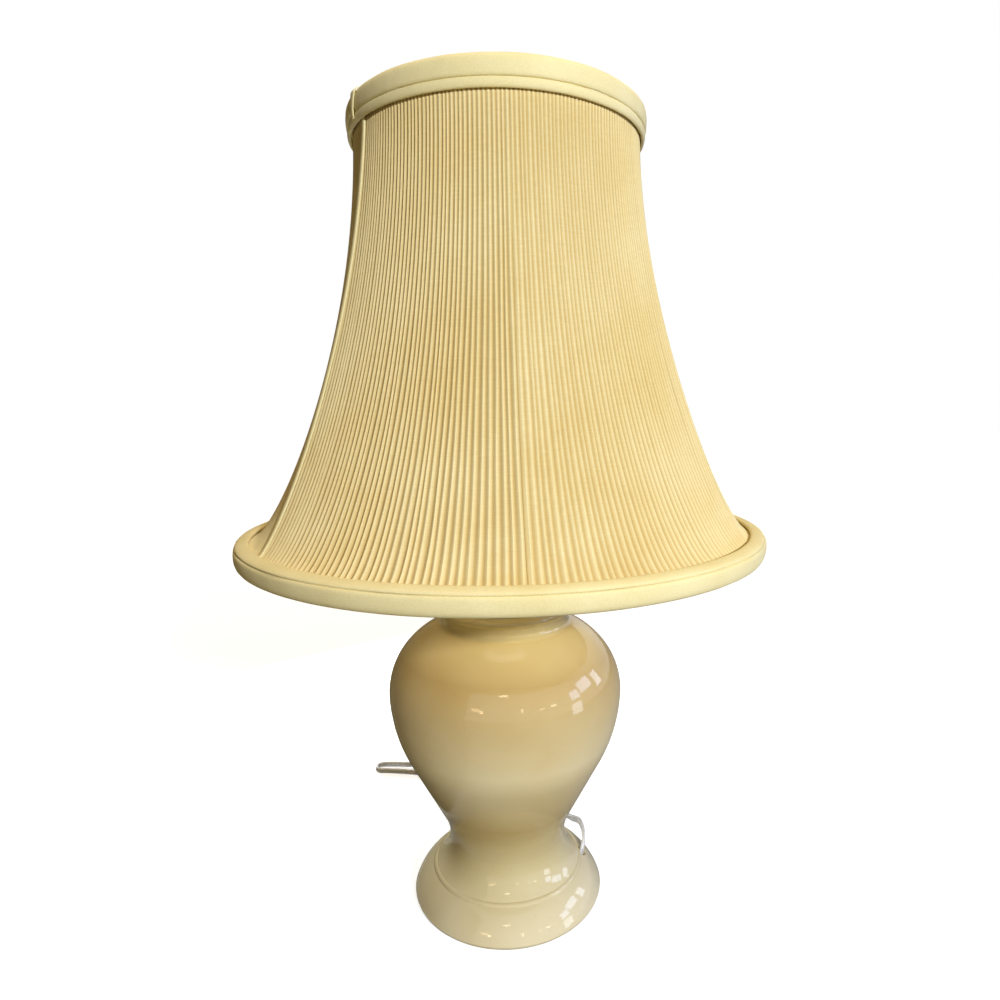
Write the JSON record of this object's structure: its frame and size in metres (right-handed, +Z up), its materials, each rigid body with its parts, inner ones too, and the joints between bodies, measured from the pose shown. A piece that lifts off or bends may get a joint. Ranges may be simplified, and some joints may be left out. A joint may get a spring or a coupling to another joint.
{
  "type": "table lamp",
  "caption": "Table lamp with a glazed ginger jar base, harp, turn-knob socket and a pleated bell shade, its cord gathered in a hank behind.",
  "frame": {"origin": "centre of the felt under the jar's foot, on the table", "axes": "+Z up through the jar and the shade; -Y towards the front, where the switch knob points; the cord leaves to the right (+X) and lies behind"},
  "size_m": [0.3632, 0.3632, 0.566],
  "materials": {
    "glazed_ceramic": "gloss",
    "felt": "matte",
    "zinc_steel": "satin",
    "brass": "satin",
    "socket_brass": "polished",
    "insulating_card": "matte",
    "phenolic": "gloss",
    "bulb_glass": "frosted",
    "bulb_metal": "satin",
    "pleated_cloth": "matte",
    "lining_cloth": "matte",
    "trim_cloth": "matte",
    "frame_wire": "satin",
    "clear_cord": "gloss",
    "tie": "matte",
    "plug_vinyl": "gloss"
  },
  "bodies": {
    "base": {"base_felt": "felt", "jar_body": "glazed_ceramic", "threaded_pipe": "zinc_steel", "base_washer": "zinc_steel", "lock_washer": "zinc_steel", "base_nut": "zinc_steel", "vase_cap": "brass", "neck_piece": "brass", "harp_saddle": "brass", "harp": "brass", "socket_cap": "socket_brass", "socket_shell": "socket_brass", "socket_insulator": "insulating_card", "socket_block": "phenolic", "screw_shell": "bulb_metal", "centre_contact": "brass", "cord_inside": "clear_cord", "cord_lead": "clear_cord", "cord_hank": "clear_cord", "hank_tie": "tie", "cord_tail": "clear_cord", "plug_body": "plug_vinyl", "plug_blades": "brass"},
    "shade": {"harp_stud": "brass", "shade_spider": "frame_wire", "shade_top_ring": "frame_wire", "shade_bottom_ring": "frame_wire", "shade_rib_1": "frame_wire", "shade_rib_2": "frame_wire", "shade_rib_3": "frame_wire", "shade_rib_4": "frame_wire", "shade_rib_5": "frame_wire", "shade_rib_6": "frame_wire", "shade_lining": "lining_cloth", "shade_cover": "pleated_cloth", "cover_seam": "trim_cloth", "top_band": "trim_cloth", "top_roll": "trim_cloth", "bottom_roll": "trim_cloth", "bottom_band": "trim_cloth", "trim_tab": "trim_cloth"},
    "finial": {"finial": "brass"},
    "bulb": {"bulb_contact": "brass", "bulb_cap": "bulb_metal", "bulb_glass": "bulb_glass"},
    "switch": {"switch_stem": "brass", "switch_knob": "phenolic"},
    "sleeve_left": {"harp_sleeve_left": "brass"},
    "sleeve_right": {"harp_sleeve_right": "brass"}
  },
  "joints": [
    {"name": "shade_swivel", "type": "hinge", "parent": "base", "child": "shade", "pos_m": [0, 0, 0.54], "axis": [0, 0, 1], "continuous": true},
    {"name": "finial_turn", "type": "hinge", "parent": "shade", "child": "finial", "pos_m": [0, 0, 0.55], "axis": [0, 0, 1], "continuous": true},
    {"name": "bulb_turn", "type": "hinge", "parent": "base", "child": "bulb", "pos_m": [0, 0, 0.3], "axis": [0, 0, 1], "range_deg": [0, 1080]},
    {"name": "knob_turn", "type": "hinge", "parent": "base", "child": "switch", "pos_m": [0, 0, 0.2736], "axis": [0, -1, 0], "continuous": true},
    {"name": "sleeve_left_slide", "type": "slide", "parent": "base", "child": "sleeve_left", "axis": [0, 0, 1], "range_m": [0, 0.012]},
    {"name": "sleeve_right_slide", "type": "slide", "parent": "base", "child": "sleeve_right", "axis": [0, 0, 1], "range_m": [0, 0.012]}
  ]
}
